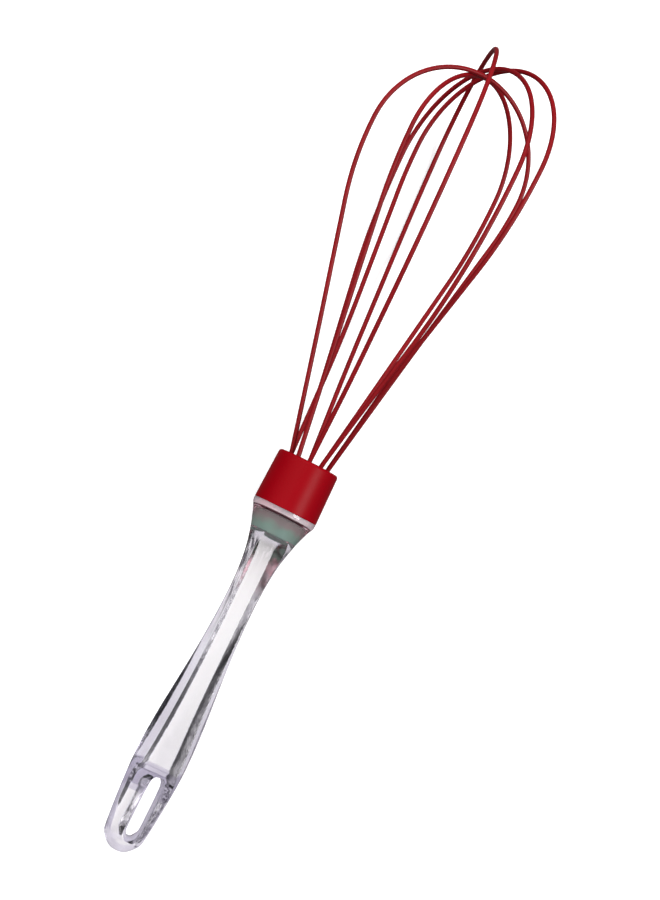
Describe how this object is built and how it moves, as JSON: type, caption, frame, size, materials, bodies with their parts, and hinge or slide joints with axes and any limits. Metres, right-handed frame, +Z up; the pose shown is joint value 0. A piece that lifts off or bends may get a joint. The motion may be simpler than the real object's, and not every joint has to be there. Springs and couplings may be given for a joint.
{
  "type": "balloon whisk",
  "caption": "Balloon whisk with red silicone-coated wire loops, a red collar and a clear acrylic handle with a hanging slot.",
  "frame": {"origin": "middle of the whisk's outline on the surface it lies on", "axes": "+Y towards the balloon's head, -Y towards the handle's end, +X across the grip's width, +Z up from the surface"},
  "size_m": [0.0666, 0.3158, 0.0766],
  "materials": {
    "clear_acrylic": "clear cast acrylic, polished, faint lavender tint",
    "collar_red": "moulded deep red, soft gloss",
    "guide_red": "moulded deep red, satin",
    "potting_epoxy": "cast epoxy, grey-green",
    "plate_steel": "stamped stainless steel",
    "plug_green": "moulded nylon, grey-green",
    "glue_clear": "cured clear adhesive",
    "silicone_red": "smooth red silicone, satin",
    "wire_steel": "drawn spring steel"
  },
  "bodies": {
    "root": {"handle": "clear_acrylic", "collar": "collar_red", "wire_guide": "guide_red", "potting": "potting_epoxy", "end_plate": "plate_steel", "plug": "plug_green", "socket_glue": "glue_clear", "wire_sleeve_1": "silicone_red", "wire_sleeve_2": "silicone_red", "wire_sleeve_3": "silicone_red", "wire_sleeve_4": "silicone_red", "wire_sleeve_5": "silicone_red", "wire_core_1": "wire_steel", "wire_core_2": "wire_steel", "wire_core_3": "wire_steel", "wire_core_4": "wire_steel", "wire_core_5": "wire_steel"}
  },
  "joints": []
}
